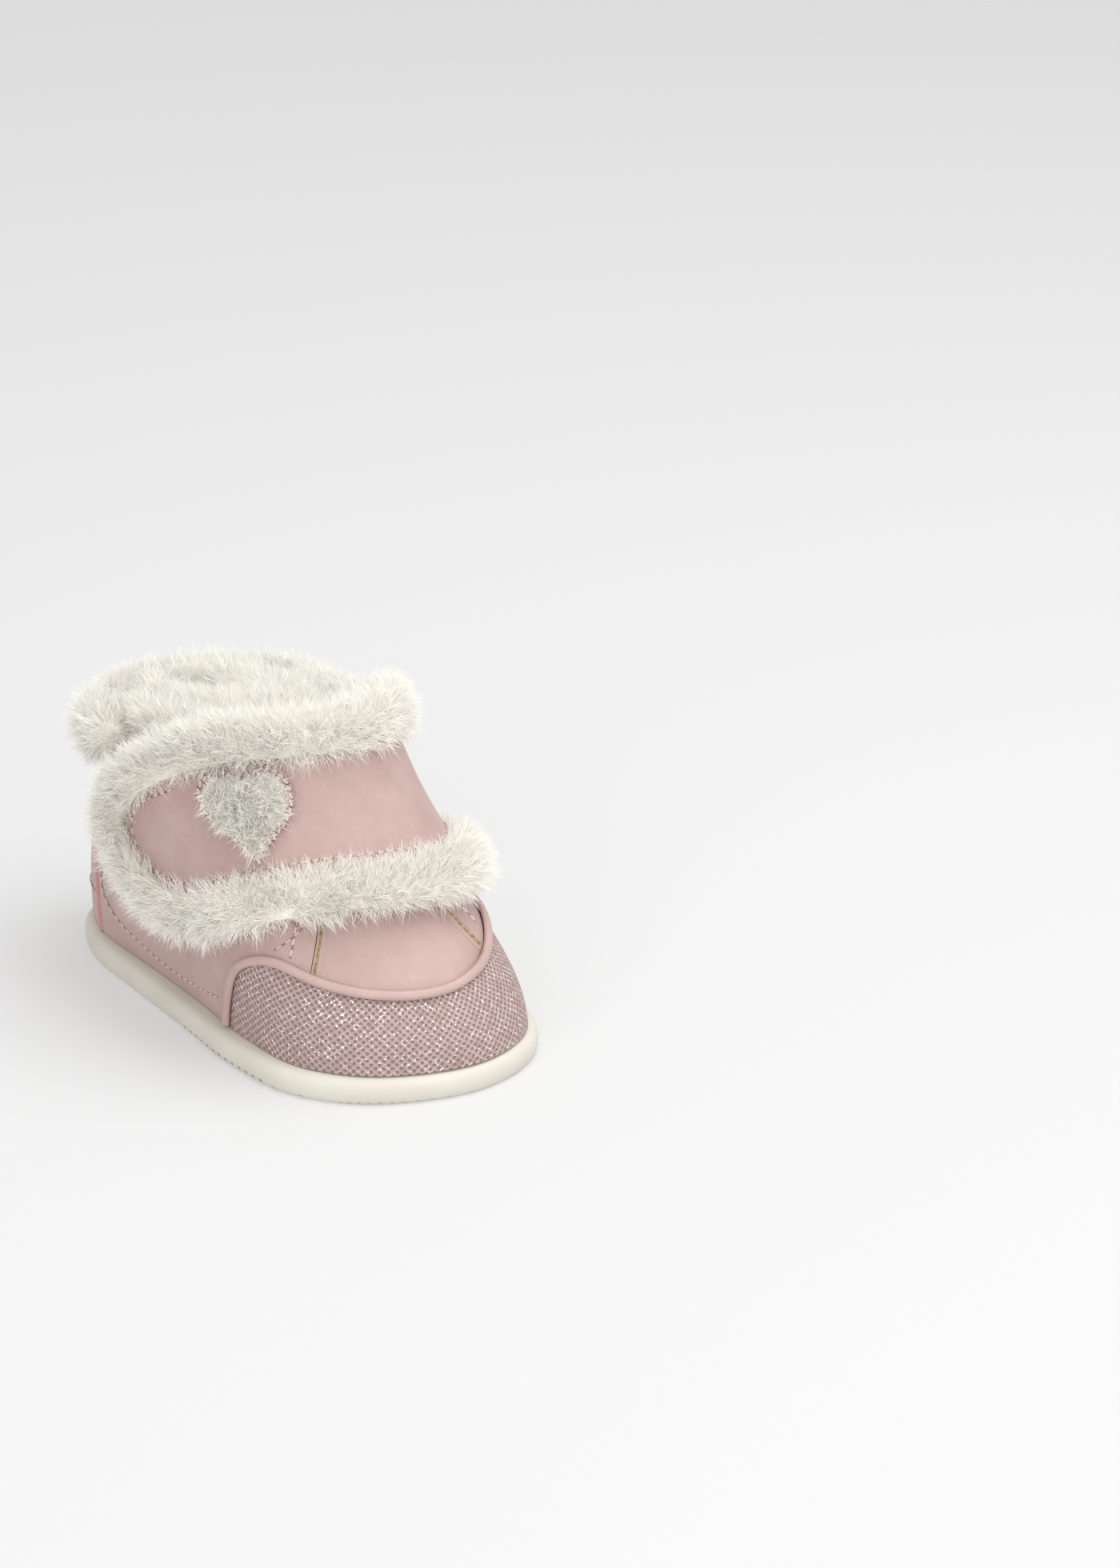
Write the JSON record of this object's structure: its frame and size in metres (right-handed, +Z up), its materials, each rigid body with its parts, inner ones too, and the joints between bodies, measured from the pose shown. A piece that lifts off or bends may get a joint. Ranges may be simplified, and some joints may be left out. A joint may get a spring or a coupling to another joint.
{
  "type": "baby bootie",
  "caption": "Soft baby ankle bootie for the right foot with a fur collar, a wrap-over front flap, a perforated toe cap and a ribbed rubber sole.",
  "frame": {"origin": "centre of the sole's ground outline, on the ground plane", "axes": "+X toward the toe, +Y toward the inner (medial) side of the foot, +Z up"},
  "size_m": [0.132, 0.0735, 0.0827],
  "materials": {
    "sole_rubber": "matte moulded rubber",
    "board": "bonded fibre board",
    "fleece": "short pile fleece",
    "toe_mesh": "perforated mesh with a light sparkle",
    "pink_leather": "soft semi-matte grain",
    "gold_edge": "raw cut edge with gold-brown backing",
    "rose_edge": "raw cut edge",
    "tab_cloth": "woven tape",
    "hook_tape": "hook and loop tape",
    "fur": "ivory long-pile faux fur"
  },
  "bodies": {
    "boot": {"outsole": "sole_rubber", "insole_board": "board", "footbed": "fleece", "quarter_lining": "fleece", "vamp_lining": "fleece", "heel_counter": "board", "toe_puff": "board", "toe_cap": "toe_mesh", "toe_piping": "pink_leather", "vamp": "pink_leather", "lateral_quarter": "pink_leather", "medial_quarter": "pink_leather", "lateral_edge": "gold_edge", "medial_edge": "gold_edge", "heel_patch": "pink_leather", "heel_edge_lateral": "rose_edge", "heel_edge_medial": "rose_edge", "collar_panel_lateral": "pink_leather", "collar_panel_medial": "pink_leather", "heel_tab": "tab_cloth", "collar_fur_back": "fur", "collar_fur_lateral": "fur", "collar_fur_medial": "fur", "flap_root": "pink_leather", "loop_pad": "hook_tape"},
    "tongue_body": {"tongue": "pink_leather", "tongue_lining": "fleece", "tongue_fur": "fur"},
    "flap_body": {"flap": "pink_leather", "flap_lining": "fleece", "flap_fur": "fur", "heart_rim": "pink_leather", "heart_fur": "fur", "hook_pad": "hook_tape"}
  },
  "joints": [
    {"name": "flap_open", "type": "hinge", "parent": "boot", "child": "flap_body", "pos_m": [0.00409, 0.02996, 0.03745], "axis": [-0.2804, -0.1626, 0.946], "range_deg": [0, 80]},
    {"name": "tongue_fold", "type": "hinge", "parent": "boot", "child": "tongue_body", "pos_m": [0.03427, -0.01516, 0.03886], "axis": [0.1784, 0.9839, -0.0144], "range_deg": [0, 24]}
  ],
  "couplings": [
    {"joint": "tongue_fold", "follows": "flap_open", "ratio": 0.3}
  ]
}
